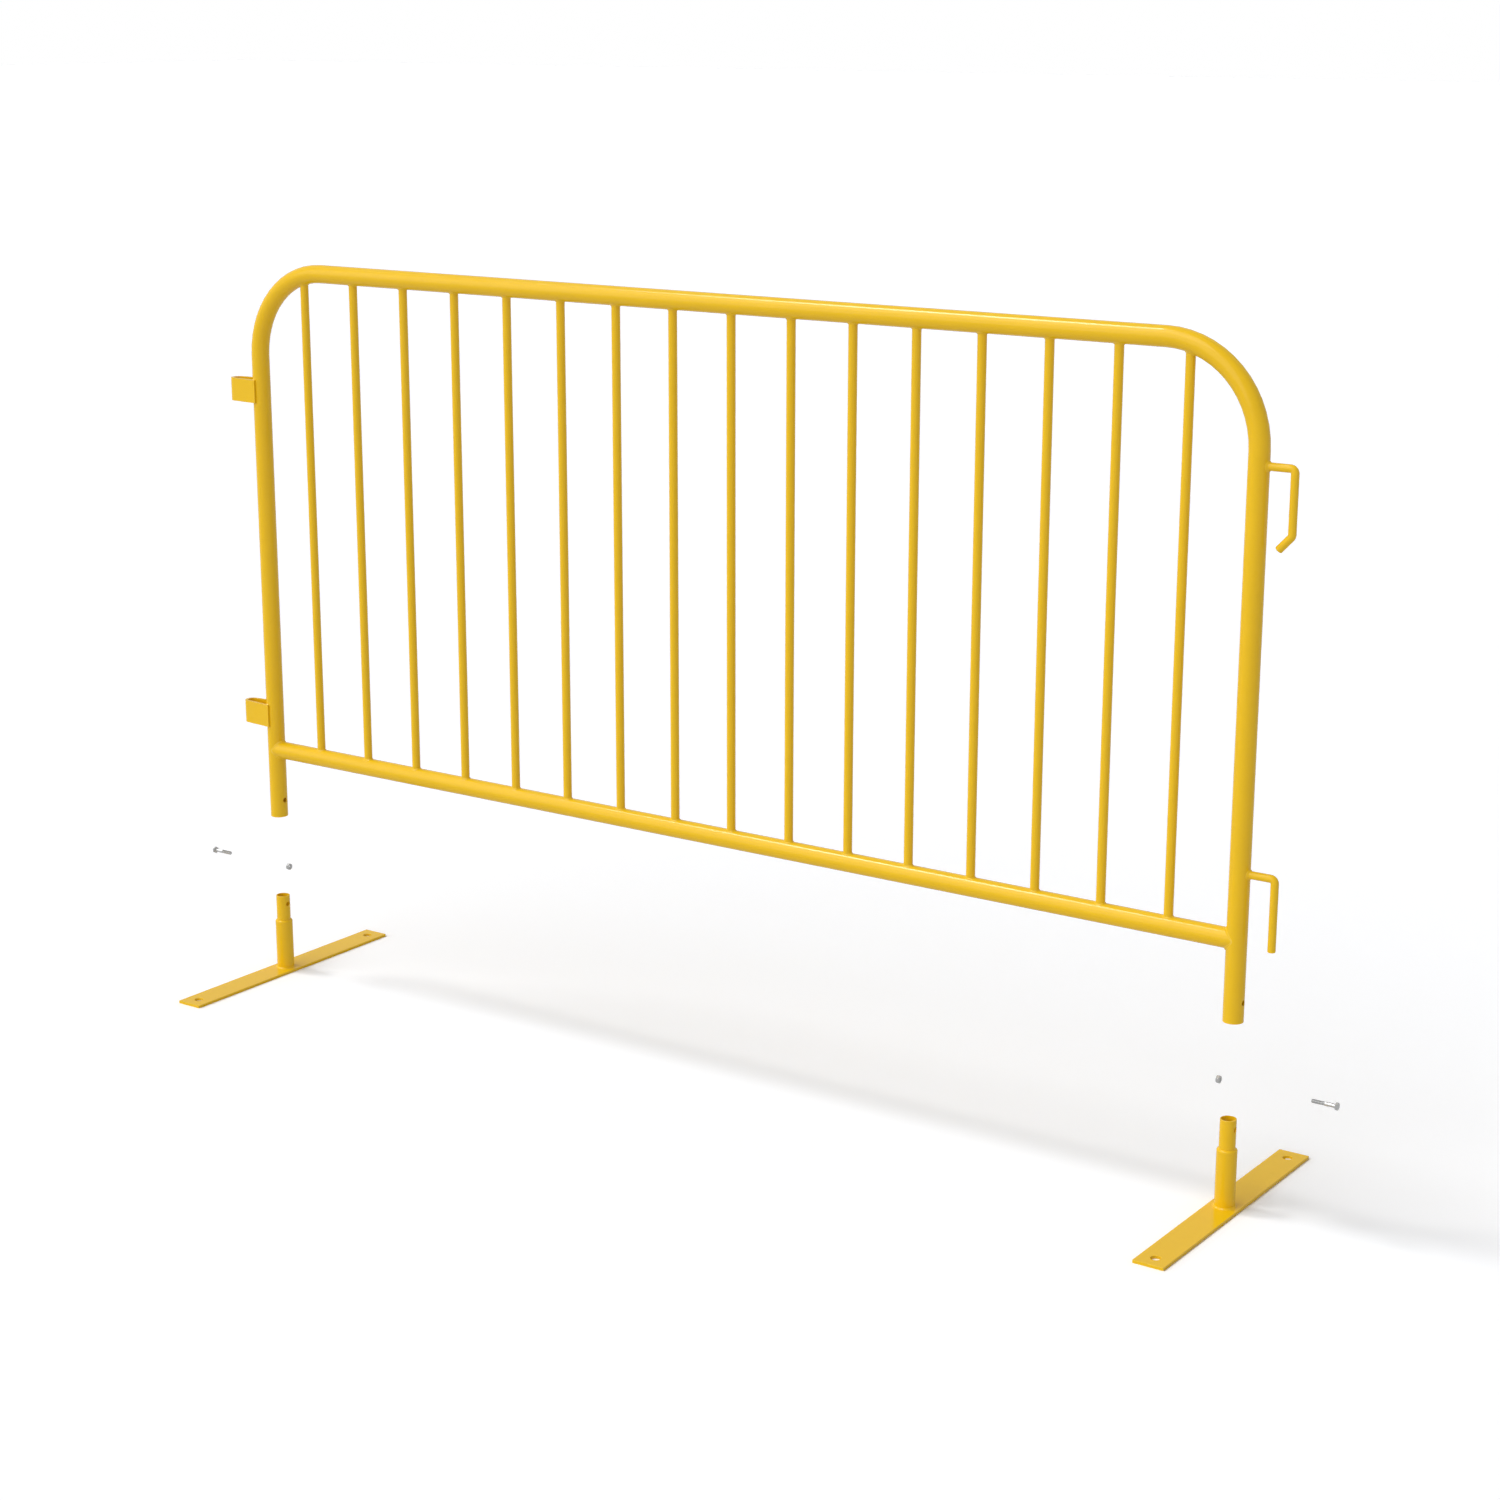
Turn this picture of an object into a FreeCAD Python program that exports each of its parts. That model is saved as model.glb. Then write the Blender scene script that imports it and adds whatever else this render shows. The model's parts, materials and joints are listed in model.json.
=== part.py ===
import FreeCAD, Part
import math
import os
import Sketcher

# Crowd control barrier: a welded tube panel that drops onto the spigots of two flat feet and is held
# by one bolt through each leg. Modelled as delivered to the site, with the panel standing clear above
# the feet and the bolts drawn out to the sides.
# Millimetres. +Z is up, +X runs along the panel from the loop end to the hook end, and the origin is
# on the floor at mid-span, in the panel's own plane.

DIMENSIONS = [
    ("leg_spacing", 1949.45, "between the leg axes"),
    ("tube_diameter", 31.75, "outside of the frame tube, the rail and the foot stubs"),
    ("tube_wall", 1.65, "wall of the same tubes"),
    ("bend_radius", 152.4, "centreline of the two top bends"),
    ("rail_spacing", 882.2, "between the axes of the top tube and the bottom rail"),
    ("leg_below_rail", 128.2, "bottom rail axis to the leg's lower end"),
    ("bar_count", 16, "uprights, shared evenly about mid-span"),
    ("bar_pitch", 114.86, "between the axes of neighbouring uprights"),
    ("bar_diameter", 14.5, "outside of an upright"),
    ("bar_wall", 1.25, "wall of an upright"),
    ("weld_gap", 0.02, "gap left at a coped joint, filled by the weld"),
    ("plate_length", 508.0, "foot plate, across the panel"),
    ("plate_width", 50.8, "foot plate, along the panel"),
    ("plate_thickness", 4.76, "foot plate"),
    ("plate_corner", 1.2, "rounding of the foot plate's upright corners"),
    ("plate_edge", 0.5, "rounding of the foot plate's upper edges"),
    ("anchor_spacing", 457.2, "between the two floor-anchor holes of a foot"),
    ("anchor_diameter", 15.9, "floor-anchor hole"),
    ("stub_height", 94.2, "foot plate to the shoulder"),
    ("shoulder_radius", 3.175, "rounded shoulder that the leg stands on"),
    ("spigot_diameter", 25.4, "reduced top of the stub, which enters the leg"),
    ("spigot_height", 47.6, "shoulder to the top of the spigot"),
    ("swage_length", 6.0, "inside taper from the stub bore to the spigot bore"),
    ("rim_chamfer", 0.4, "broken edges at the spigot's rim"),
    ("bolt_hole_diameter", 9.5, "cross hole in each leg and each spigot"),
    ("bolt_hole_height", 31.75, "above the leg's lower end, and above the shoulder"),
    ("panel_lift", 203.5, "leg ends above the shoulders before assembly"),
    ("loop_height", 41.3, "strap width of a loop"),
    ("loop_thickness", 4.76, "strap thickness"),
    ("loop_nose_radius", 13.5, "outside of a loop's rounded end"),
    ("loop_root", 19.6, "loop mid-plane to the strap's outer face, level with the leg axis"),
    ("loop_reach", 70.4, "leg axis to the outermost point of a loop"),
    ("upper_loop_drop", 216.0, "top tube axis down to the middle of the upper loop"),
    ("lower_loop_rise", 66.4, "bottom rail axis up to the middle of the lower loop"),
    ("hook_diameter", 12.2, "round bar of a hook"),
    ("hook_reach", 56.2, "leg axis to the axis of the hook's upright part"),
    ("hook_bend_radius", 7.2, "centreline of a hook's bends"),
    ("upper_hook_drop", 173.2, "top tube axis down to the upper hook's arm"),
    ("lower_hook_rise", 103.2, "bottom rail axis up to the lower hook's arm"),
    ("upper_hook_depth", 97.0, "arm axis down to the knee of the upper hook"),
    ("lower_hook_depth", 112.2, "arm axis down to the end of the lower hook"),
    ("hook_tip_length", 29.0, "knee to tip, along the upper hook's bent end"),
    ("hook_tip_angle", 43.0, "bent end of the upper hook, from the upright"),
    ("hook_edge", 0.8, "rounding of a hook's free end"),
    ("shank_diameter", 6.35, "bolt shank"),
    ("bolt_length", 38.1, "bolt, under the head"),
    ("bolt_point", 0.9, "chamfer at the bolt's end"),
    ("hex_flats", 11.11, "across the flats of the bolt head and the nut"),
    ("head_height", 4.0, "bolt head"),
    ("nut_height", 5.6, "nut"),
    ("nut_clearance", 0.05, "running clearance between shank and nut"),
    ("hex_face", 10.67, "flat round face left at the chamfered end of a hexagon"),
    ("seat_gap", 0.3, "gap at a shoulder or under a bolt head once assembled"),
    ("bolt_withdrawal", 154.0, "bolts drawn out from their seats, along X"),
    ("fastener_lift", 74.7, "bolts and nuts above the height of the spigot holes"),
]

SIDES = (("left", -1), ("right", 1))
SHEET = "Dimensions"


def cell(alias):
    """The name of a sheet value, as expressions use it."""
    return SHEET + "." + alias


HALF_SPAN = cell("leg_spacing") + " / 2"
TUBE_RADIUS = cell("tube_diameter") + " / 2"
TUBE_BORE = "(" + TUBE_RADIUS + " - " + cell("tube_wall") + ")"
WELDED_RADIUS = "(" + TUBE_RADIUS + " + " + cell("weld_gap") + ")"
SHOULDER_Z = "(" + cell("plate_thickness") + " + " + cell("stub_height") + ")"
LEG_END_Z = "(" + SHOULDER_Z + " + " + cell("panel_lift") + ")"
RAIL_AXIS = cell("leg_below_rail")
TOP_AXIS = "(" + RAIL_AXIS + " + " + cell("rail_spacing") + ")"
BEND_X = "(" + HALF_SPAN + " - " + cell("bend_radius") + ")"
BEND_Z = "(" + TOP_AXIS + " - " + cell("bend_radius") + ")"
FASTENER_Z = "(" + SHOULDER_Z + " + " + cell("bolt_hole_height") + " + " + cell("fastener_lift") + ")"


def fill_sheet(doc):
    sheet = doc.addObject("Spreadsheet::Sheet", SHEET)
    for row, (alias, value, note) in enumerate(DIMENSIONS, start=1):
        sheet.set("A%d" % row, alias)
        sheet.set("B%d" % row, str(value))
        sheet.set("C%d" % row, note)
        sheet.setAlias("B%d" % row, alias)
    doc.recompute()
    return sheet


# --- general helpers ------------------------------------------------------------------------------

def bind(obj, **formulas):
    """Bind properties to expressions; a double underscore stands for a dot."""
    for name, formula in formulas.items():
        obj.setExpression(name.replace("__", "."), str(formula))
    return obj


def new_body(doc, label):
    body = doc.addObject("PartDesign::Body", label)
    body.Label = label
    return body


def new_sketch(body, name, role):
    """A sketch lying on one of the body's own origin planes."""
    plane = next(f for f in body.Origin.OriginFeatures if f.Role == role)
    sketch = body.newObject("Sketcher::SketchObject", body.Name + "_" + name)
    sketch.AttachmentSupport = (plane, "")
    sketch.MapMode = "FlatFace"
    return sketch


def dimension(sketch, name, formula, *arguments):
    """A named driving dimension, bound to an expression."""
    index = sketch.addConstraint(Sketcher.Constraint(*arguments))
    sketch.renameConstraint(index, name)
    sketch.setExpression("Constraints." + name, formula)


def add_circle(sketch, name, diameter, up=None):
    """A circle on the sketch's vertical axis, at the origin or at a given height."""
    start = FreeCAD.Vector(0, 1 if up else 0, 0)
    circle = sketch.addGeometry(Part.Circle(start, FreeCAD.Vector(0, 0, 1), 5), False)
    if up:
        sketch.addConstraint(Sketcher.Constraint("PointOnObject", circle, 3, -2))
        dimension(sketch, name + "_up", up, "DistanceY", -1, 1, circle, 3, 1)
    else:
        sketch.addConstraint(Sketcher.Constraint("Coincident", circle, 3, -1, 1))
    dimension(sketch, name + "_diameter", diameter, "Diameter", circle, 10)
    return circle


def add_line(sketch, start, end):
    first = FreeCAD.Vector(start[0], start[1], 0)
    last = FreeCAD.Vector(end[0], end[1], 0)
    return sketch.addGeometry(Part.LineSegment(first, last), False)


def add_arc(sketch, centre, radius, start_angle, end_angle):
    """An arc, anticlockwise from one angle to the other, in degrees."""
    circle = Part.Circle(FreeCAD.Vector(centre[0], centre[1], 0), FreeCAD.Vector(0, 0, 1), radius)
    arc = Part.ArcOfCircle(circle, math.radians(start_angle), math.radians(end_angle))
    return sketch.addGeometry(arc, False)


def join(sketch, kind, *ends):
    """Join consecutive ends; ends come as (geometry, point) pairs, two for each joint."""
    for index in range(0, len(ends), 2):
        sketch.addConstraint(Sketcher.Constraint(kind, *ends[index], *ends[index + 1]))


def through_pocket(body, sketch, name):
    """A pocket that runs right through the body on both sides of its sketch."""
    pocket = body.newObject("PartDesign::Pocket", body.Name + "_" + name)
    pocket.Profile = sketch
    pocket.Type = "ThroughAll"
    pocket.SideType = "Symmetric"
    return pocket


def edges_where(shape, accept):
    return ["Edge%d" % n for n, edge in enumerate(shape.Edges, start=1) if accept(edge)]


def boolean(doc, kind, name, base, tool):
    result = doc.addObject(kind, name)
    result.Base = base
    result.Tool = tool
    return result


def cylinder(doc, name, radius, height, **places):
    shape = doc.addObject("Part::Cylinder", name)
    return bind(shape, Radius=radius, Height=height, **places)


# --- the panel, in its own frame: mid-span, level with the leg ends --------------------------------

def stand_in_panel(piece, x="0", z="0"):
    """Put a panel piece at its place above the feet."""
    return bind(piece, Placement__Base__x=x, Placement__Base__z=LEG_END_Z + " + " + z)


def frame_tube(doc, sheet):
    """One tube bent twice: left leg, top, right leg, with a cross hole near each leg's end."""
    body = new_body(doc, "frame_tube")
    half = sheet.leg_spacing / 2
    top = sheet.leg_below_rail + sheet.rail_spacing
    bend = sheet.bend_radius

    path = new_sketch(body, "path", "XZ_Plane")
    left = add_line(path, (-half, 0), (-half, top - bend))
    left_bend = add_arc(path, (-half + bend, top - bend), bend, 90, 180)
    across = add_line(path, (-half + bend, top), (half - bend, top))
    right_bend = add_arc(path, (half - bend, top - bend), bend, 0, 90)
    right = add_line(path, (half, top - bend), (half, 0))
    join(path, "Tangent", (left, 2), (left_bend, 2), (left_bend, 1), (across, 1))
    join(path, "Tangent", (across, 2), (right_bend, 2), (right_bend, 1), (right, 1))
    path.addConstraint(Sketcher.Constraint("Vertical", left))
    path.addConstraint(Sketcher.Constraint("Horizontal", across))
    path.addConstraint(Sketcher.Constraint("Equal", left_bend, right_bend))
    path.addConstraint(Sketcher.Constraint("Symmetric", left, 1, right, 2, -2))
    path.addConstraint(Sketcher.Constraint("PointOnObject", left, 1, -1))
    dimension(path, "span", cell("leg_spacing"), "DistanceX", left, 1, right, 2, 2 * half)
    dimension(path, "top", TOP_AXIS, "DistanceY", -1, 1, across, 1, top)
    dimension(path, "bend", cell("bend_radius"), "Radius", left_bend, bend)

    section = new_sketch(body, "section", "XY_Plane")
    bind(section, AttachmentOffset__Base__x="-" + HALF_SPAN)
    add_circle(section, "outside", cell("tube_diameter"))
    add_circle(section, "inside", "2 * " + TUBE_BORE)
    doc.recompute()

    tube = body.newObject("PartDesign::AdditivePipe", "frame_tube_bend")
    tube.Profile = section
    tube.Spine = (path, ["Edge%d" % n for n in range(1, 6)])
    doc.recompute()

    holes = new_sketch(body, "holes", "YZ_Plane")
    add_circle(holes, "bolt", cell("bolt_hole_diameter"), up=cell("bolt_hole_height"))
    through_pocket(body, holes, "bolt_holes")
    return stand_in_panel(body)


def weld_envelope(doc):
    """The space taken by the top tube, its bends and the bottom rail, in the panel's frame."""
    straight = cylinder(doc, "envelope_top", WELDED_RADIUS, "2 * " + BEND_X,
                        Placement__Base__x="-" + BEND_X, Placement__Base__z=TOP_AXIS)
    rail = cylinder(doc, "envelope_rail", WELDED_RADIUS, cell("leg_spacing"),
                    Placement__Base__x="-" + HALF_SPAN, Placement__Base__z=RAIL_AXIS)
    turned = FreeCAD.Rotation(FreeCAD.Vector(0, 1, 0), 90)
    for piece in (straight, rail):
        piece.Placement.Rotation = turned
    pieces = [straight, rail]
    for name, side in SIDES:
        bend = doc.addObject("Part::Torus", "envelope_%s_bend" % name)
        bend.Angle3 = 90
        spin = FreeCAD.Rotation(FreeCAD.Vector(1, 0, 0), 90)
        if side < 0:
            spin = spin.multiply(FreeCAD.Rotation(FreeCAD.Vector(0, 0, 1), 90))
        bend.Placement.Rotation = spin
        bind(bend, Radius1=cell("bend_radius"), Radius2=WELDED_RADIUS,
             Placement__Base__x="%d * %s" % (side, BEND_X), Placement__Base__z=BEND_Z)
        pieces.append(bend)
    envelope = doc.addObject("Part::MultiFuse", "weld_envelope")
    envelope.Shapes = pieces
    return envelope


def bottom_rail(doc):
    """Straight tube whose ends are coped to sit against the legs."""
    turned = FreeCAD.Rotation(FreeCAD.Vector(0, 1, 0), 90)
    places = {"Placement__Base__x": "-" + HALF_SPAN, "Placement__Base__z": RAIL_AXIS}
    outside = cylinder(doc, "rail_outside", TUBE_RADIUS, cell("leg_spacing"), **places)
    bore = cylinder(doc, "rail_bore", TUBE_BORE, cell("leg_spacing"), **places)
    for piece in (outside, bore):
        piece.Placement.Rotation = turned
    legs = [cylinder(doc, "rail_cope_" + name, WELDED_RADIUS, "2 * " + RAIL_AXIS,
                     Placement__Base__x="%d * %s" % (side, HALF_SPAN)) for name, side in SIDES]
    removed = doc.addObject("Part::MultiFuse", "rail_removed")
    removed.Shapes = [bore] + legs
    rail = boolean(doc, "Part::Cut", "bottom_rail", outside, removed)
    return stand_in_panel(rail)


def upright_bar(doc, envelope, number):
    """Thin tube from the bottom rail to the top tube, coped to both."""
    label = "upright_bar_%02d" % number
    place = "(%d - (%s + 1) / 2) * %s" % (number, cell("bar_count"), cell("bar_pitch"))
    radius = cell("bar_diameter") + " / 2"
    height = cell("rail_spacing")
    at_bar = {"Placement__Base__x": place, "Placement__Base__z": RAIL_AXIS}
    outside = cylinder(doc, label + "_outside", radius, height, **at_bar)
    bore = cylinder(doc, label + "_bore", radius + " - " + cell("bar_wall"), height, **at_bar)
    tube = boolean(doc, "Part::Cut", label + "_tube", outside, bore)
    return stand_in_panel(boolean(doc, "Part::Cut", label, tube, envelope))


def cope_to_leg(body):
    """Cut the end of a welded-on piece to the round of the leg, whose axis is the body's Z axis."""
    sketch = new_sketch(body, "cope", "XY_Plane")
    add_circle(sketch, "leg", "2 * " + WELDED_RADIUS)
    return through_pocket(body, sketch, "cope_cut")


def loop(doc, sheet, label, z):
    """Flat strap bent to a U, its two ends welded against the flanks of the left leg."""
    body = new_body(doc, label)
    outer = sheet.loop_nose_radius
    inner = outer - sheet.loop_thickness
    root = sheet.loop_root
    root_inside = root - sheet.loop_thickness
    nose = -(sheet.loop_reach - outer)

    strap = new_sketch(body, "strap", "XY_Plane")
    outer_arc = add_arc(strap, (nose, 0), outer, 90, 270)
    inner_arc = add_arc(strap, (nose, 0), inner, 90, 270)
    front_out = add_line(strap, (nose, -outer), (0, -root))
    front_end = add_line(strap, (0, -root), (0, -root_inside))
    front_in = add_line(strap, (0, -root_inside), (nose, -inner))
    back_in = add_line(strap, (nose, inner), (0, root_inside))
    back_end = add_line(strap, (0, root_inside), (0, root))
    back_out = add_line(strap, (0, root), (nose, outer))
    join(strap, "Tangent", (outer_arc, 2), (front_out, 1), (inner_arc, 2), (front_in, 2))
    join(strap, "Tangent", (inner_arc, 1), (back_in, 1), (outer_arc, 1), (back_out, 2))
    join(strap, "Coincident", (front_out, 2), (front_end, 1), (front_end, 2), (front_in, 1))
    join(strap, "Coincident", (back_in, 2), (back_end, 1), (back_end, 2), (back_out, 1))
    join(strap, "Coincident", (outer_arc, 3), (inner_arc, 3))
    for end in (front_end, back_end):
        strap.addConstraint(Sketcher.Constraint("Vertical", end))
    strap.addConstraint(Sketcher.Constraint("PointOnObject", front_end, 1, -2))
    strap.addConstraint(Sketcher.Constraint("Symmetric", front_end, 1, back_end, 2, -1))
    strap.addConstraint(Sketcher.Constraint("Parallel", front_out, front_in))
    strap.addConstraint(Sketcher.Constraint("Parallel", back_out, back_in))
    strap.addConstraint(Sketcher.Constraint("PointOnObject", outer_arc, 3, -1))
    dimension(strap, "outer", cell("loop_nose_radius"), "Radius", outer_arc, outer)
    dimension(strap, "inner", cell("loop_nose_radius") + " - " + cell("loop_thickness"),
              "Radius", inner_arc, inner)
    dimension(strap, "nose", cell("loop_reach") + " - " + cell("loop_nose_radius"),
              "DistanceX", outer_arc, 3, -1, 1, -nose)
    dimension(strap, "root", cell("loop_root"), "DistanceY", -1, 1, back_end, 2, root)

    pad = body.newObject("PartDesign::Pad", label + "_pad")
    pad.Profile = strap
    pad.SideType = "Symmetric"
    bind(pad, Length=cell("loop_height"))
    doc.recompute()
    cope_to_leg(body)
    return stand_in_panel(body, "-" + HALF_SPAN, z)


def hook(doc, sheet, label, depth, z, bent):
    """Round bar welded to the outer side of the right leg: an arm, a bend and an upright part.

    The bent form ends in a tip that leans back towards the leg.
    """
    body = new_body(doc, label)
    reach = sheet.hook_reach
    bend = sheet.hook_bend_radius
    bottom = -sheet.get(depth)

    path = new_sketch(body, "path", "XZ_Plane")
    arm = add_line(path, (0, 0), (reach - bend, 0))
    corner = add_arc(path, (reach - bend, -bend), bend, 0, 90)
    upright = add_line(path, (reach, -bend), (reach, bottom + bend))
    join(path, "Tangent", (arm, 2), (corner, 2), (corner, 1), (upright, 1))
    join(path, "Coincident", (arm, 1), (-1, 1))
    path.addConstraint(Sketcher.Constraint("Horizontal", arm))
    path.addConstraint(Sketcher.Constraint("Vertical", upright))
    dimension(path, "bend", cell("hook_bend_radius"), "Radius", corner, bend)
    dimension(path, "reach", cell("hook_reach"), "DistanceX", -1, 1, upright, 2, reach)
    run = cell(depth)
    if bent:
        lean = sheet.hook_tip_angle
        knee = add_arc(path, (reach - bend, bottom + bend), bend, -lean, 0)
        tip = add_line(path, (reach - 5, bottom - 3), (reach - 20, bottom - 20))
        join(path, "Tangent", (upright, 2), (knee, 2), (knee, 1), (tip, 1))
        path.addConstraint(Sketcher.Constraint("Equal", corner, knee))
        dimension(path, "lean", "180 - " + cell("hook_tip_angle"), "Angle", upright, 2, tip, 1,
                  math.radians(180 - lean))
        trimmed = "%s * tan(%s / 2 * 1 deg)" % (cell("hook_bend_radius"), cell("hook_tip_angle"))
        dimension(path, "tip", cell("hook_tip_length") + " - " + trimmed, "Distance", tip, 20)
        run = run + " - " + trimmed
    dimension(path, "run", run, "DistanceY", upright, 2, -1, 1, -bottom)

    section = new_sketch(body, "section", "YZ_Plane")
    add_circle(section, "bar", cell("hook_diameter"))
    doc.recompute()
    bar = body.newObject("PartDesign::AdditivePipe", label + "_bar")
    bar.Profile = section
    bar.Spine = (path, ["Edge%d" % n for n in range(1, 6 if bent else 4)])
    doc.recompute()
    cope_to_leg(body)
    doc.recompute()
    rim = 2 * math.pi * sheet.hook_diameter / 2
    round_edges(body, "free_end", "hook_edge", lambda edge: is_rim(edge, rim))
    return stand_in_panel(body, HALF_SPAN, z)


# --- a foot, in its own frame: on the floor under the leg axis --------------------------------------

def base_plate(doc, sheet, name, side):
    """Flat bar on the floor, with a floor-anchor hole near each end."""
    body = new_body(doc, name + "_base_plate")
    half_x = sheet.plate_width / 2
    half_y = sheet.plate_length / 2
    outline = new_sketch(body, "outline", "XY_Plane")
    corners = [(-half_x, -half_y), (half_x, -half_y), (half_x, half_y), (-half_x, half_y)]
    lines = [add_line(outline, corners[n], corners[(n + 1) % 4]) for n in range(4)]
    for n in range(4):
        join(outline, "Coincident", (lines[n], 2), (lines[(n + 1) % 4], 1))
        outline.addConstraint(Sketcher.Constraint("Vertical" if n % 2 else "Horizontal", lines[n]))
    outline.addConstraint(Sketcher.Constraint("Symmetric", lines[0], 1, lines[2], 1, -1, 1))
    dimension(outline, "width", cell("plate_width"), "DistanceX", lines[0], 1, lines[0], 2, half_x)
    dimension(outline, "length", cell("plate_length"), "DistanceY", lines[1], 1, lines[1], 2, half_y)
    pad = body.newObject("PartDesign::Pad", body.Name + "_pad")
    pad.Profile = outline
    bind(pad, Length=cell("plate_thickness"))
    doc.recompute()

    drilled = new_sketch(body, "drilled", "XY_Plane")
    circle = add_circle(drilled, "anchor", cell("anchor_diameter"), up=cell("anchor_spacing") + " / 2")
    mirrored = Part.Circle(FreeCAD.Vector(0, -100, 0), FreeCAD.Vector(0, 0, 1), 5)
    twin = drilled.addGeometry(mirrored, False)
    drilled.addConstraint(Sketcher.Constraint("Symmetric", circle, 3, twin, 3, -1, 1))
    drilled.addConstraint(Sketcher.Constraint("Equal", circle, twin))
    through_pocket(body, drilled, "anchor_holes")
    doc.recompute()

    thickness = sheet.plate_thickness
    round_edges(body, "corners", "plate_corner", lambda edge: is_upright(edge, thickness))
    doc.recompute()
    round_edges(body, "top_edges", "plate_edge", lambda edge: is_level(edge, thickness))
    return bind(body, Placement__Base__x="%d * %s" % (side, HALF_SPAN))


def is_upright(edge, height):
    return isinstance(edge.Curve, Part.Line) and abs(edge.BoundBox.ZLength - height) < 1e-6


def is_rim(edge, length):
    return isinstance(edge.Curve, Part.Circle) and abs(edge.Length - length) < 1e-3


def is_level(edge, height):
    box = edge.BoundBox
    return box.ZLength < 1e-6 and abs(box.ZMax - height) < 1e-6


def round_edges(body, name, alias, accept):
    """Round the edges that a test accepts, to a radius from the sheet."""
    base = body.Tip
    fillet = body.newObject("PartDesign::Fillet", body.Name + "_" + name)
    fillet.Base = (base, edges_where(base.Shape, accept))
    return bind(fillet, Radius=cell(alias))


def stub_tube(doc, sheet, name, side):
    """Tube welded upright on the foot plate, swaged down to a spigot above a rounded shoulder."""
    body = new_body(doc, name + "_stub_tube")
    outer = sheet.tube_diameter / 2
    bore = outer - sheet.tube_wall
    spigot = sheet.spigot_diameter / 2
    spigot_bore = spigot - sheet.tube_wall
    shoulder = sheet.stub_height
    top = shoulder + sheet.spigot_height
    rim = sheet.rim_chamfer
    turn = sheet.shoulder_radius

    half = new_sketch(body, "half_section", "XZ_Plane")
    outline = [(bore, 0), (outer, 0), (outer, shoulder - turn)]
    after = [(spigot, shoulder), (spigot, top - rim), (spigot - rim, top), (spigot_bore, top),
             (spigot_bore, shoulder), (bore, shoulder - sheet.swage_length), (bore, 0)]
    foot, wall = [add_line(half, outline[n], outline[n + 1]) for n in range(2)]
    round_shoulder = add_arc(half, (spigot, shoulder - turn), turn, 0, 90)
    rest = [add_line(half, after[n], after[n + 1]) for n in range(len(after) - 1)]
    spigot_wall, chamfer, rim_face, spigot_inside, taper, inside = rest
    join(half, "Coincident", (foot, 2), (wall, 1))
    join(half, "Tangent", (wall, 2), (round_shoulder, 1))
    join(half, "Coincident", (round_shoulder, 2), (spigot_wall, 1))
    for n in range(len(rest) - 1):
        join(half, "Coincident", (rest[n], 2), (rest[n + 1], 1))
    join(half, "Coincident", (inside, 2), (foot, 1))
    for line in (foot, rim_face):
        half.addConstraint(Sketcher.Constraint("Horizontal", line))
    for line in (wall, spigot_wall, spigot_inside, inside):
        half.addConstraint(Sketcher.Constraint("Vertical", line))
    half.addConstraint(Sketcher.Constraint("PointOnObject", foot, 1, -1))
    dimension(half, "outer", TUBE_RADIUS, "DistanceX", -1, 1, foot, 2, outer)
    dimension(half, "bore", TUBE_BORE, "DistanceX", -1, 1, foot, 1, bore)
    dimension(half, "turn", cell("shoulder_radius"), "Radius", round_shoulder, turn)
    dimension(half, "shoulder", cell("stub_height"), "DistanceY", -1, 1, spigot_wall, 1, shoulder)
    dimension(half, "spigot", cell("spigot_diameter") + " / 2",
              "DistanceX", -1, 1, spigot_wall, 2, spigot)
    dimension(half, "top", cell("stub_height") + " + " + cell("spigot_height"),
              "DistanceY", -1, 1, rim_face, 1, top)
    dimension(half, "rim_across", cell("rim_chamfer"), "DistanceX", chamfer, 2, chamfer, 1, rim)
    dimension(half, "rim_down", cell("rim_chamfer"), "DistanceY", chamfer, 1, chamfer, 2, rim)
    dimension(half, "spigot_bore", "%s / 2 - %s" % (cell("spigot_diameter"), cell("tube_wall")),
              "DistanceX", -1, 1, spigot_inside, 2, spigot_bore)
    dimension(half, "taper_top", cell("stub_height"), "DistanceY", -1, 1, taper, 1, shoulder)
    dimension(half, "taper_run", cell("swage_length"), "DistanceY", taper, 2, taper, 1, 6)
    doc.recompute()

    turned = body.newObject("PartDesign::Revolution", body.Name + "_turned")
    turned.Profile = half
    turned.ReferenceAxis = (half, ["V_Axis"])
    turned.Angle = 360
    doc.recompute()

    hole = new_sketch(body, "cross_hole", "YZ_Plane")
    height = cell("stub_height") + " + " + cell("bolt_hole_height")
    add_circle(hole, "bolt", cell("bolt_hole_diameter"), up=height)
    through_pocket(body, hole, "bolt_hole")
    return bind(body, Placement__Base__x="%d * %s" % (side, HALF_SPAN),
                Placement__Base__z=cell("plate_thickness"))


# --- bolts and nuts, along their own Z axis ---------------------------------------------------------

def chamfered_hexagon(doc, name, height, both_ends):
    """Hexagonal prism with its corners taken off at the outer end, or at both ends.

    Each end is trimmed by a cone that meets the flats a little below the end face.
    """
    flats = cell("hex_flats") + " / 2"
    narrow = cell("hex_face") + " / 2"
    wide = "%s + %s / tan(30 deg)" % (narrow, height)
    prism = doc.addObject("Part::Prism", name + "_prism")
    prism.Polygon = 6
    bind(prism, Circumradius=flats + " / cos(30 deg)", Height=height)
    trim = doc.addObject("Part::Cone", name + "_trim")
    bind(trim, Radius1=wide, Radius2=narrow, Height=height)
    shape = boolean(doc, "Part::Common", name + "_trimmed", prism, trim)
    if both_ends:
        lower = doc.addObject("Part::Cone", name + "_lower_trim")
        bind(lower, Radius1=narrow, Radius2=wide, Height=height)
        shape = boolean(doc, "Part::Common", name + "_trimmed_twice", shape, lower)
    return shape


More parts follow.
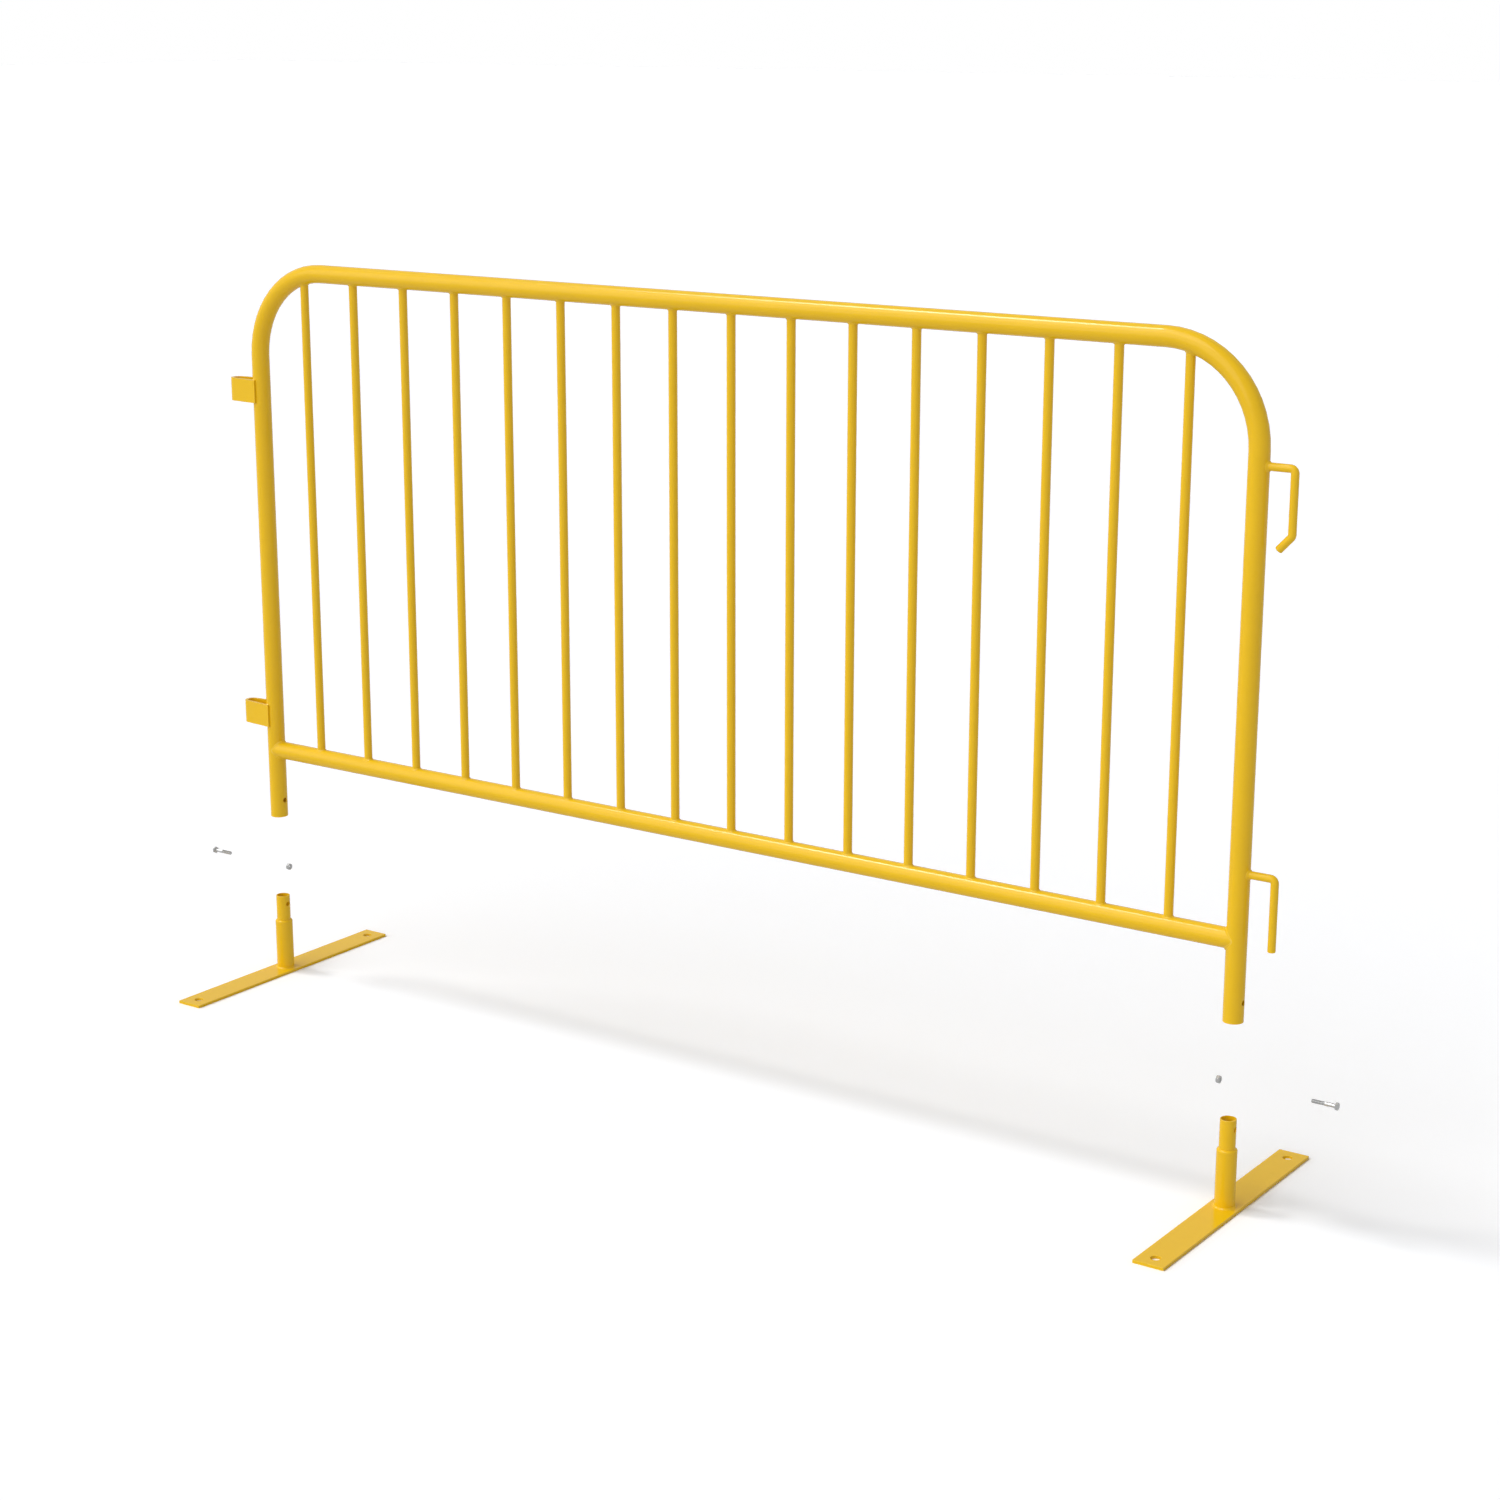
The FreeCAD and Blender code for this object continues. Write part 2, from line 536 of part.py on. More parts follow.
def lay_along_x(piece, side, x):
    """Turn a fastener so that its +Z points away from mid-span, and put it at its place."""
    piece.Placement.Rotation = FreeCAD.Rotation(FreeCAD.Vector(0, 1, 0), 90 * side)
    return bind(piece, Placement__Base__x="%d * (%s)" % (side, x), Placement__Base__z=FASTENER_Z)


def bolt(doc, name, side):
    """Hexagon bolt, head outboard, drawn out clear of the leg."""
    label = name + "_bolt"
    head = chamfered_hexagon(doc, label + "_head", cell("head_height"), False)
    radius = cell("shank_diameter") + " / 2"
    shank = cylinder(doc, label + "_shank", radius,
                     "%s - %s" % (cell("bolt_length"), cell("bolt_point")),
                     Placement__Base__z="%s - %s" % (cell("bolt_point"), cell("bolt_length")))
    point = doc.addObject("Part::Cone", label + "_point")
    bind(point, Radius1="%s - %s * tan(40 deg)" % (radius, cell("bolt_point")), Radius2=radius,
         Height=cell("bolt_point"), Placement__Base__z="-" + cell("bolt_length"))
    piece = doc.addObject("Part::MultiFuse", label)
    piece.Shapes = [head, shank, point]
    piece.Refine = True
    seated = "%s + %s + %s" % (HALF_SPAN, TUBE_RADIUS, cell("seat_gap"))
    return lay_along_x(piece, side, seated + " + " + cell("bolt_withdrawal"))


def nut(doc, name, side):
    """Hexagon nut, on the inner side of the leg and in line with its bolt."""
    label = name + "_nut"
    hexagon = chamfered_hexagon(doc, label + "_hexagon", cell("nut_height"), True)
    bore = cylinder(doc, label + "_bore",
                    "%s / 2 + %s" % (cell("shank_diameter"), cell("nut_clearance")),
                    cell("nut_height"))
    piece = boolean(doc, "Part::Cut", label, hexagon, bore)
    inner_face = "%s - %s - %s" % (HALF_SPAN, TUBE_RADIUS, cell("seat_gap"))
    return lay_along_x(piece, side, inner_face + " - " + cell("nut_height"))


# --- assembly and export ----------------------------------------------------------------------------

def build(doc):
    sheet = fill_sheet(doc)
    pieces = [frame_tube(doc, sheet), bottom_rail(doc)]
    envelope = weld_envelope(doc)
    for number in range(1, int(sheet.bar_count) + 1):
        pieces.append(upright_bar(doc, envelope, number))
    upper_loop_z = "%s - %s" % (TOP_AXIS, cell("upper_loop_drop"))
    lower_loop_z = "%s + %s" % (RAIL_AXIS, cell("lower_loop_rise"))
    upper_hook_z = "%s - %s" % (TOP_AXIS, cell("upper_hook_drop"))
    lower_hook_z = "%s + %s" % (RAIL_AXIS, cell("lower_hook_rise"))
    pieces.append(loop(doc, sheet, "upper_loop", upper_loop_z))
    pieces.append(loop(doc, sheet, "lower_loop", lower_loop_z))
    pieces.append(hook(doc, sheet, "upper_hook", "upper_hook_depth", upper_hook_z, True))
    pieces.append(hook(doc, sheet, "lower_hook", "lower_hook_depth", lower_hook_z, False))
    for name, side in SIDES:
        pieces.append(base_plate(doc, sheet, name, side))
        pieces.append(stub_tube(doc, sheet, name, side))
        pieces.append(bolt(doc, name, side))
        pieces.append(nut(doc, name, side))
    doc.recompute()
    return pieces


def check(doc, pieces):
    """Stop before anything is written if an object failed or a piece is not one sound solid."""
    failed = [o.Name for o in doc.Objects if {"Invalid", "Error"} & set(o.State)]
    if failed:
        raise RuntimeError("failed objects: " + ", ".join(failed))
    for piece in pieces:
        shape = piece.Shape
        if shape.isNull() or not shape.isValid() or len(shape.Solids) != 1:
            raise RuntimeError("not one valid solid: " + piece.Label)


def export(pieces):
    os.makedirs("parts", exist_ok=True)
    for piece in pieces:
        piece.Shape.exportStep(os.path.join("parts", piece.Label + ".step"))


document = FreeCAD.newDocument("crowd_control_barrier")
sub_parts = build(document)
check(document, sub_parts)
export(sub_parts)
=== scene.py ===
import json
import math
import random

import bpy
from mathutils import Matrix, Vector
from mathutils.bvhtree import BVHTree


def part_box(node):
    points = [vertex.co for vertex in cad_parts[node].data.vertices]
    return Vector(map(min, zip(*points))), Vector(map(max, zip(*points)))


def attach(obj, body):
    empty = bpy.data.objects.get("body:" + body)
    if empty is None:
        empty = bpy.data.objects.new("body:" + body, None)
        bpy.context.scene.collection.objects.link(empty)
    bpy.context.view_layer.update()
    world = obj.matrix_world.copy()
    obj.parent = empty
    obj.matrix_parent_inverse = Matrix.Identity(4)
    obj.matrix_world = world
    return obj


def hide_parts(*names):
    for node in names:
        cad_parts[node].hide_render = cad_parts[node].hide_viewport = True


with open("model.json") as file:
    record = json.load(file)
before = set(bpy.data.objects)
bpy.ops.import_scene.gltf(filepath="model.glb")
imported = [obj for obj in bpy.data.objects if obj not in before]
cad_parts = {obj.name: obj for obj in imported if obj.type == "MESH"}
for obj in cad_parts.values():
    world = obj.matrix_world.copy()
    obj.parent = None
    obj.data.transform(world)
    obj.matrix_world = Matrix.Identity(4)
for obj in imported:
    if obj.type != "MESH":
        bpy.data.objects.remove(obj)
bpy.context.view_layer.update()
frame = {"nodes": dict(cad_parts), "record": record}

# Looks for a crowd control barrier: yellow powder coat, painted weld beads, zinc fasteners with real
# threads, a plain pale floor, soft studio light and the camera. Metres, in the frame of the solids.

NODES = frame["nodes"]
MM = 0.001
SIDES = (("left", -1), ("right", 1))    # name, sign of its x
ZINC_SLOT = "zinc_plate"


# --- node helpers -----------------------------------------------------------------------------------

class Tree:
    """A material's or world's node tree, with short calls for adding and joining nodes."""

    def __init__(self, owner):
        owner.use_nodes = True
        self.tree = owner.node_tree
        self.tree.nodes.clear()

    def add(self, kind, inputs=None, **settings):
        """A new node, with its settings, and its named inputs set or linked."""
        node = self.tree.nodes.new(kind)
        for name, value in settings.items():
            setattr(node, name, value)
        for name, value in (inputs or {}).items():
            self.put(value, node.inputs[name])
        return node

    def put(self, value, socket):
        """Link a socket or set a plain value."""
        if isinstance(value, bpy.types.NodeSocket):
            self.tree.links.new(value, socket)
        else:
            socket.default_value = value

    def show(self, shader, kind="ShaderNodeOutputMaterial"):
        """Join a shader to the tree's output."""
        self.add(kind, {"Surface": shader.outputs[0]})

    def math(self, operation, first, second=0.0, third=None, clamp=False):
        """One sum on numbers or sockets."""
        node = self.add("ShaderNodeMath", operation=operation, use_clamp=clamp)
        self.put(first, node.inputs[0])
        self.put(second, node.inputs[1])
        if third is not None:
            self.put(third, node.inputs[2])
        return node.outputs[0]

    def noise(self, position, scale, detail=2.0, roughness=0.5):
        """Grey noise, 0 to 1, with features about 1/scale metres across."""
        node = self.add("ShaderNodeTexNoise", {
            "Vector": position, "Scale": scale, "Detail": detail, "Roughness": roughness})
        return node.outputs["Fac"]

    def spread(self, value, low, high):
        """Map 0..1 to low..high."""
        return self.math("MULTIPLY_ADD", value, high - low, low)

    def mix_colour(self, factor, first, second):
        """The first colour at a factor of 0, the second at 1."""
        node = self.add("ShaderNodeMix", data_type="RGBA")
        self.put(factor, node.inputs[0])
        self.put(first, node.inputs[6])
        self.put(second, node.inputs[7])
        return node.outputs[2]

    def scale_colour(self, colour, factor):
        """A colour made lighter or darker by a factor."""
        node = self.add("ShaderNodeVectorMath", operation="SCALE")
        self.put(colour, node.inputs[0])
        self.put(factor, node.inputs[3])
        return node.outputs[0]


EDGE_SAMPLES = 4
EDGE_GAIN = 6.0


def edge_mask(tree, radius):
    """About 0 on open surfaces, rising to 1 within the radius of a sharp edge."""
    rounded = tree.add("ShaderNodeBevel", {"Radius": radius}, samples=EDGE_SAMPLES).outputs[0]
    plain = tree.add("ShaderNodeNewGeometry").outputs["Normal"]
    node = tree.add("ShaderNodeVectorMath", operation="DOT_PRODUCT")
    tree.put(rounded, node.inputs[0])
    tree.put(plain, node.inputs[1])
    turned_away = tree.math("SUBTRACT", 1.0, node.outputs["Value"])
    return tree.math("MULTIPLY", turned_away, EDGE_GAIN, clamp=True)


def patches(tree, value, threshold, gain):
    """Grey noise cut down to separate patches: 0 below the threshold, rising to 1 above it."""
    return tree.math("MULTIPLY", tree.math("SUBTRACT", value, threshold), gain, clamp=True)


# --- materials --------------------------------------------------------------------------------------

PAINT_COLOUR = (0.862, 0.524, 0.006, 1.0)
# Paler colour for sharp edges: partly edge wear, partly a painted highlight.
PAINT_EDGE_WEAR_AND_HIGHLIGHT = (0.93, 0.66, 0.12, 1.0)
PAINT_DEEP = (0.82, 0.49, 0.005, 1.0)
PAINT_SHINE = 0.38
PAINT_ROUGHNESS = (0.16, 0.23)
MOTTLE_RANGE = (0.975, 1.025)
SPECKLE_RANGE = (-0.02, 0.02)
DEEP_SHARE = 0.28
EDGE_WEAR_AND_HIGHLIGHT_RADIUS = 0.9 * MM
EDGE_WEAR_AND_HIGHLIGHT_RANGE = (0.35, 1.0)
EDGE_WEAR_AND_HIGHLIGHT_SHARE = 0.75
EDGE_BAND_ROUGHENS = 0.10
PEEL_STRENGTH = 0.17
PEEL_DEPTH = 0.06 * MM
GRIT_SHARE = 0.10

ZINC_COLOUR = (0.60, 0.61, 0.62, 1.0)
ZINC_WARM = (0.63, 0.61, 0.56, 1.0)
ZINC_DULL = (0.36, 0.38, 0.40, 1.0)
ZINC_EDGE = (0.80, 0.80, 0.81, 1.0)
ZINC_ROUGHNESS = (0.20, 0.34)
WARM_SHARE = 0.55
DULL_SHARE = 0.35
DULL_ROUGHENS = 0.10
RUBBED_RADIUS = 0.25 * MM
RUBBED_SHARE = 0.5
SCRATCH_STRETCH = (1.0, 9.0, 9.0)
SCRATCH_STRENGTH = 0.25
SCRATCH_DEPTH = 0.02 * MM


def powder_coat(name):
    """Semi-gloss yellow powder coat: cured orange peel, a faint mottle, and paler paint on sharp edges
    that is partly edge wear and partly a painted highlight.
    """
    material = bpy.data.materials.new(name)
    tree = Tree(material)
    place = tree.add("ShaderNodeTexCoord").outputs["Object"]
    mottle = tree.spread(tree.noise(place, scale=14.0, detail=3.0), *MOTTLE_RANGE)
    speckle = tree.spread(tree.noise(place, scale=420.0, roughness=0.6), *SPECKLE_RANGE)
    film = patches(tree, tree.noise(place, scale=60.0, detail=4.0), threshold=0.52, gain=4.0)
    base = tree.mix_colour(tree.math("MULTIPLY", film, DEEP_SHARE), PAINT_COLOUR, PAINT_DEEP)
    # Paler paint near sharp edges: partly edge wear, partly a painted highlight where edges catch the
    # light; the same band is also made rougher.
    edge_wear_and_highlight_noise = tree.spread(tree.noise(place, scale=900.0), *EDGE_WEAR_AND_HIGHLIGHT_RANGE)
    edge_wear_and_highlight = tree.math("MULTIPLY", edge_mask(tree, EDGE_WEAR_AND_HIGHLIGHT_RADIUS), edge_wear_and_highlight_noise, clamp=True)
    colour_with_edge_wear_and_highlight = tree.mix_colour(tree.math("MULTIPLY", edge_wear_and_highlight, EDGE_WEAR_AND_HIGHLIGHT_SHARE), base, PAINT_EDGE_WEAR_AND_HIGHLIGHT)

    peel = tree.noise(place, scale=620.0, detail=1.5, roughness=0.45)
    grit = tree.noise(place, scale=3200.0, roughness=0.6)
    height = tree.math("ADD", peel, tree.math("MULTIPLY", grit, GRIT_SHARE))
    bump = tree.add("ShaderNodeBump", {
        "Height": height, "Strength": PEEL_STRENGTH, "Distance": PEEL_DEPTH})
    rough = tree.math("ADD", tree.spread(tree.noise(place, scale=35.0, detail=3.0), *PAINT_ROUGHNESS),
                      tree.math("MULTIPLY", edge_wear_and_highlight, EDGE_BAND_ROUGHENS))
    colour = tree.scale_colour(colour_with_edge_wear_and_highlight, tree.math("ADD", mottle, speckle))
    tree.show(tree.add("ShaderNodeBsdfPrincipled", {
        "Base Color": colour, "Roughness": rough, "Normal": bump.outputs[0],
        "IOR": 1.5, "Specular IOR Level": PAINT_SHINE}))
    return material


def zinc_plate(name):
    """Bright zinc over machined steel: a cloudy tint, fine scratches, rubbed edges."""
    material = bpy.data.materials.new(name)
    tree = Tree(material)
    place = tree.add("ShaderNodeTexCoord").outputs["Object"]
    cloud = tree.noise(place, scale=260.0, detail=3.0)
    tint = tree.mix_colour(tree.math("MULTIPLY", cloud, WARM_SHARE), ZINC_COLOUR, ZINC_WARM)
    mapping = tree.add("ShaderNodeMapping", {"Vector": place, "Scale": SCRATCH_STRETCH})
    scratches = tree.noise(mapping.outputs[0], scale=700.0, detail=4.0, roughness=0.7)
    dull = patches(tree, scratches, threshold=0.55, gain=5.0)
    colour = tree.mix_colour(tree.math("MULTIPLY", dull, DULL_SHARE), tint, ZINC_DULL)
    rubbed = tree.math("MULTIPLY", edge_mask(tree, RUBBED_RADIUS), RUBBED_SHARE)
    bump = tree.add("ShaderNodeBump", {
        "Height": scratches, "Strength": SCRATCH_STRENGTH, "Distance": SCRATCH_DEPTH})
    rough = tree.math("ADD", tree.spread(cloud, *ZINC_ROUGHNESS),
                      tree.math("MULTIPLY", dull, DULL_ROUGHENS))
    tree.show(tree.add("ShaderNodeBsdfPrincipled", {
        "Base Color": tree.mix_colour(rubbed, colour, ZINC_EDGE), "Metallic": 1.0,
        "Roughness": rough, "Normal": bump.outputs[0]}))
    return material


PAINT = powder_coat("powder_coat_yellow")
ZINC = zinc_plate("zinc_bright")


def paint_frame():
    """Give every solid its finish, by the record's material slot."""
    slots = {entry["node"]: entry["material_slot"] for entry in frame["record"]["subparts"]}
    for node, piece in NODES.items():
        piece.data.materials.clear()
        piece.data.materials.append(ZINC if slots[node] == ZINC_SLOT else PAINT)


# --- meshes -----------------------------------------------------------------------------------------

def placed(name, data):
    """A new object in the scene."""
    thing = bpy.data.objects.new(name, data)
    bpy.context.scene.collection.objects.link(thing)
    return thing


def grid_mesh(name, rows, wrap_rows, material, sharp):
    """A mesh from rings of points, each joined to the next; a ring of one point is a pole.

    Edges that turn by more than `sharp` degrees are shaded as sharp.
    """
    points = []
    starts = []
    for row in rows:
        starts.append(len(points))
        points.extend(row)
    faces = []
    for first in range(len(rows) if wrap_rows else len(rows) - 1):
        second = (first + 1) % len(rows)
        a, b = rows[first], rows[second]
        count = max(len(a), len(b))
        for n in range(count):
            m = (n + 1) % count
            corners = [starts[first] + n % len(a), starts[first] + m % len(a),
                       starts[second] + m % len(b), starts[second] + n % len(b)]
            faces.append(list(dict.fromkeys(corners)))
    mesh = bpy.data.meshes.new(name)
    mesh.from_pydata([tuple(p) for p in points], [], faces)
    mesh.validate()
    turn_outward(mesh)
    mesh.shade_smooth()
    mesh.set_sharp_from_angle(angle=math.radians(sharp))
    mesh.materials.append(material)
    return placed(name, mesh)


def turn_outward(mesh):
    """Flip a closed mesh whose faces look inward."""
    volume = 0.0
    for face in mesh.polygons:
        corners = [mesh.vertices[v].co for v in face.vertices]
        for n in range(1, len(corners) - 1):
            volume += corners[0].dot(corners[n].cross(corners[n + 1]))
    if volume < 0:
        mesh.flip_normals()


def add_piece(piece, body):
    """Let a piece ride on a body."""
    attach(piece, body)


# --- welds ------------------------------------------------------------------------------------------

BAR_BEAD = 1.9 * MM
RAIL_BEAD = 3.0 * MM
HOOK_BEAD = 2.6 * MM
LOOP_BEAD = 2.2 * MM
STUB_BEAD = 2.4 * MM
RIPPLE_LENGTH = 1.7 * MM
SWELL_LENGTH = 17 * MM
BEAD_CURVE = (0.0, 0.17, 0.34, 0.5, 0.66, 0.83, 1.0)    # places along the crown, from toe to toe

# Shares of a fillet's depth, from its corner to the middle between its toes.
CROWN_HEIGHT = 0.18
RIPPLE_HEIGHT = 0.22
SWELL_HEIGHT = 0.10
ROOT_DEPTH = 0.45
TOE_DEPTH = 0.06

# The first seed of each kind of bead; a seed sets where the bead's ripple starts.
TOP_SEED, FOOT_SEED, RAIL_SEED, HOOK_SEED, LOOP_SEED, STUB_SEED = 0, 50, 100, 110, 120, 150

TREES = {}


def surface(node):
    """A solid's ray-cast tree, built once."""
    if node not in TREES:
        mesh = NODES[node].data
        TREES[node] = BVHTree.FromPolygons([v.co.copy() for v in mesh.vertices],
                                           [tuple(p.vertices) for p in mesh.polygons])
    return TREES[node]


def cast(node, start, direction):
    """Where a ray first meets a solid, or None."""
    return surface(node).ray_cast(Vector(start), Vector(direction))[0]


def weld_bead(name, body, stations, closed, seed):
    """A rippled fillet through stations of (toe on one part, toe on the other, corner between)."""
    phase = random.Random(seed).uniform(0, 2 * math.pi)
    length = 0.0
    rows = []
    last = None
    for wall, base, corner in stations:
        middle = (wall + base) / 2
        if last is not None:
            length += (middle - last).length
        last = middle
        ripple = 0.5 + 0.5 * math.cos(2 * math.pi * length / RIPPLE_LENGTH + phase)
        swell = math.sin(2 * math.pi * length / SWELL_LENGTH + phase)
        height = CROWN_HEIGHT + RIPPLE_HEIGHT * ripple + SWELL_HEIGHT * swell
        crown = middle + (middle - corner) * height
        buried = corner + (corner - middle) * ROOT_DEPTH
        first = wall.lerp(buried, TOE_DEPTH)
        end = base.lerp(buried, TOE_DEPTH)
        curve = [first * (1 - t) ** 2 + crown * 2 * t * (1 - t) + end * t ** 2 for t in BEAD_CURVE]
        rows.append(curve + [buried])
    if not closed:
        rows = [[centre_of(rows[0])]] + rows + [[centre_of(rows[-1])]]
    add_piece(grid_mesh(name, rows, closed, PAINT, sharp=60.0), body)


def centre_of(points):
    """The mean of some points."""
    return sum(points, Vector()) / len(points)


def ring_weld(name, body, node, centre, axis, radius, size, seed, steps=192):
    """A bead round the end of a round bar that runs along an axis into another part.

    The bead is left out if a ray misses the other part.
    """
    axis = Vector(axis).normalized()
    across = Vector((0, 1, 0))
    up = axis.cross(across).normalized()
    stations = []
    for n in range(steps):
        angle = 2 * math.pi * n / steps
        out = across * math.cos(angle) + up * math.sin(angle)
        corner = cast(node, centre + out * radius, axis)
        base = cast(node, centre + out * (radius + size), axis)
        if corner is None or base is None:
            return
        stations.append((corner - axis * size, base, corner))
    weld_bead(name, body, stations, True, seed)


def bar_welds():
    """A bead at both ends of every upright."""
    rail_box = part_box("bottom_rail")
    middle = (rail_box[1].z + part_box("frame_tube")[1].z) / 2
    bars = sorted(n for n in NODES if n.startswith("upright_bar"))
    for number, bar in enumerate(bars):
        low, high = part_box(bar)
        centre = Vector(((low.x + high.x) / 2, 0, middle))
        radius = (high.x - low.x) / 2
        ring_weld("weld_top_" + bar, "panel", "frame_tube", centre, (0, 0, 1),
                  radius, BAR_BEAD, seed=TOP_SEED + number)
        ring_weld("weld_foot_" + bar, "panel", "bottom_rail", centre, (0, 0, -1),
                  radius, BAR_BEAD, seed=FOOT_SEED + number)


def tube_radius():
    """The outer radius of the frame's tube; the rail is the same tube, and its box is simpler."""
    low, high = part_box("bottom_rail")
    return (high.z - low.z) / 2


def rail_welds():
    """Beads in the saddle where the rail meets each leg; they fade out where the two are flush."""
    low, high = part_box("bottom_rail")
    radius = tube_radius()
    axis_z = (high.z + low.z) / 2
    leg_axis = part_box("frame_tube")[1].x - radius
    least_bead = 0.35 * MM
    fade = 0.7
    within_leg = 0.999 * radius
    steps = 256
    for number, (name, side) in enumerate(SIDES):
        stations = []
        for n in range(steps):
            angle = 2 * math.pi * n / steps
            sideways, upward = math.cos(angle), math.sin(angle)
            here = RAIL_BEAD * abs(upward) ** fade + least_bead
            saddle = side * (leg_axis - radius * abs(upward))
            corner = Vector((saddle, radius * sideways, axis_z + radius * upward))
            wall = corner + Vector((-side * here, 0, 0))
            spread = radius + here * abs(upward)
            reach = min(abs(spread * sideways), within_leg)
            depth = math.sqrt(radius ** 2 - reach ** 2)
            base = Vector((side * (leg_axis - depth), math.copysign(reach, sideways),
                           axis_z + (radius + here) * upward))
            stations.append((wall, base, corner))
        weld_bead("weld_rail_" + name, "panel", stations, True, seed=RAIL_SEED + number)


def hook_welds():
    """A bead where each hook's arm meets the leg."""
    behind_middle = 8 * MM
    for number, node in enumerate(("upper_hook", "lower_hook")):
        low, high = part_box(node)
        radius = (high.y - low.y) / 2
        start = Vector(((low.x + high.x) / 2 - behind_middle, 0, high.z - radius))
        ring_weld("weld_" + node, "panel", "frame_tube", start, (-1, 0, 0),
                  radius, HOOK_BEAD, seed=HOOK_SEED + number)


def loop_welds():
    """Short beads along the upper and lower edges of each strap, where it lies against the leg."""
    radius = tube_radius()
    leg_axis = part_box("frame_tube")[0].x + radius
    seed = LOOP_SEED
    from_axis = 0.4 * MM
    run = 9.0 * MM
    end_fullness = 0.12
    steps = 40
    for node in ("upper_loop", "lower_loop"):
        low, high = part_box(node)
        for edge, height, up in (("top", high.z, 1), ("foot", low.z, -1)):
            for face, side in (("front", -1), ("back", 1)):
                stations = []
                for n in range(steps + 1):
                    share = n / steps
                    fullness = end_fullness + (1 - end_fullness) * 2 * min(share, 1 - share)
                    size = LOOP_BEAD * math.sin(math.pi * fullness / 2)
                    along = -run * share - from_axis
                    flank = math.sqrt(radius ** 2 - along ** 2)
                    normal = Vector((along / radius, side * flank / radius, 0))
                    corner = Vector((leg_axis + along, side * flank, height))
                    stations.append((corner + Vector((0, 0, up * size)), corner + normal * size, corner))
                weld_bead("weld_%s_%s_%s" % (node, edge, face), "panel", stations, False, seed)
                seed += 1


def stub_welds():
    """A bead round the foot of each stub, on its plate."""
    above_plate = 30 * MM
    for number, (name, _side) in enumerate(SIDES):
        low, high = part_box(name + "_stub_tube")
        centre = Vector(((low.x + high.x) / 2, 0, low.z + above_plate))
        ring_weld("weld_%s_stub" % name, name + "_base", name + "_base_plate", centre, (0, 0, -1),
                  (high.x - low.x) / 2, STUB_BEAD, seed=STUB_SEED + number, steps=360)


# --- fasteners --------------------------------------------------------------------------------------

TURN_STEPS = 96
HEX_FLATS = 11.11 * MM
HEX_FACE = 10.67 * MM
HEX_SLOPE = math.tan(math.radians(30))
HEAD_HEIGHT = 4.0 * MM
WASHER_RADIUS = HEX_FLATS / 2 * 0.97
WASHER_HEIGHT = 0.35 * MM
NECK_CHAMFER = 0.4 * MM
SHANK = 6.35 * MM
POINT_CHAMFER = 0.85 * MM
THREAD_PITCH = 1.27 * MM
THREAD_DEPTH = 0.62 * MM
THREAD_LENGTH = 22.0 * MM
THREAD_RUN_IN = 1.5 * THREAD_PITCH
THREAD_FLANK = 1.25
THREAD_CREST = 0.1
STEPS_PER_TURN = 12
NUT_CLEARANCE = 0.05 * MM
NUT_SINK = 0.5 * MM
NUT_THREAD_SHARE = 0.8


def hexagon_radius(angle):
    """Centre to side of the hexagon, at an angle."""
    sixth = math.pi / 3
    return HEX_FLATS / 2 / math.cos((angle % sixth) - sixth / 2)


def thread_wave(place, angle):
    """0 on a thread's crest, 1 at its root, with small flats on both."""
    turn = (place / THREAD_PITCH - angle / (2 * math.pi)) % 1.0
    return min(1.0, max(0.0, THREAD_FLANK * (1 - abs(2 * turn - 1)) - THREAD_CREST))


def turned(name, profile, closed):
    """A mesh of revolution whose profile may change with the angle."""
    columns = [profile(2 * math.pi * n / TURN_STEPS) for n in range(TURN_STEPS)]
    rows = []
    for index in range(len(columns[0])):
        ring = []
        for n, column in enumerate(columns):
            angle = 2 * math.pi * n / TURN_STEPS
            radius, height = column[index]
            ring.append(Vector((radius * math.cos(angle), radius * math.sin(angle), height)))
        rows.append([ring[0]] if columns[0][index][0] == 0 else ring)
    return grid_mesh(name, rows, closed, ZINC, sharp=28.0)


def bolt_profile(length):
    """From the middle of the head's top, down its side, along the shank and round its point."""
    start = THREAD_LENGTH - length
    steps = int(THREAD_LENGTH / THREAD_PITCH * STEPS_PER_TURN)

    def profile(angle):
        corner = hexagon_radius(angle)
        points = [(0, HEAD_HEIGHT), (HEX_FACE / 2, HEAD_HEIGHT),
                  (corner, HEAD_HEIGHT - (corner - HEX_FACE / 2) * HEX_SLOPE),
                  (corner, WASHER_HEIGHT), (WASHER_RADIUS, WASHER_HEIGHT), (WASHER_RADIUS, 0.0),
                  (SHANK / 2 + NECK_CHAMFER, 0.0), (SHANK / 2, -NECK_CHAMFER), (SHANK / 2, start)]
        for n in range(1, steps + 1):
            height = start - THREAD_LENGTH * n / steps
            run_in = min(1.0, (start - height) / THREAD_RUN_IN)
            radius = SHANK / 2 - THREAD_DEPTH * run_in * thread_wave(height, angle)
            point_limit = SHANK / 2 - POINT_CHAMFER + (height + length)
            points.append((min(radius, point_limit), height))
        points.append((0, -length))
        return points
    return profile


def nut_profile(height):
    """Once round the section of a nut: threaded bore, faces, chamfers and hexagonal side."""
    bore = SHANK / 2 + NUT_CLEARANCE
    mouth = bore + NUT_SINK
    steps = int(height / THREAD_PITCH * STEPS_PER_TURN)

    def profile(angle):
        corner = hexagon_radius(angle)
        drop = (corner - HEX_FACE / 2) * HEX_SLOPE
        points = [(mouth, 0.0)]
        for n in range(1, steps):
            level = height * n / steps
            groove = bore + THREAD_DEPTH * NUT_THREAD_SHARE * (1 - thread_wave(level, angle))
            points.append((max(groove, mouth - min(level, height - level)), level))
        points += [(mouth, height), (HEX_FACE / 2, height), (corner, height - drop),
                   (corner, drop), (HEX_FACE / 2, 0.0)]
        return points
    return profile


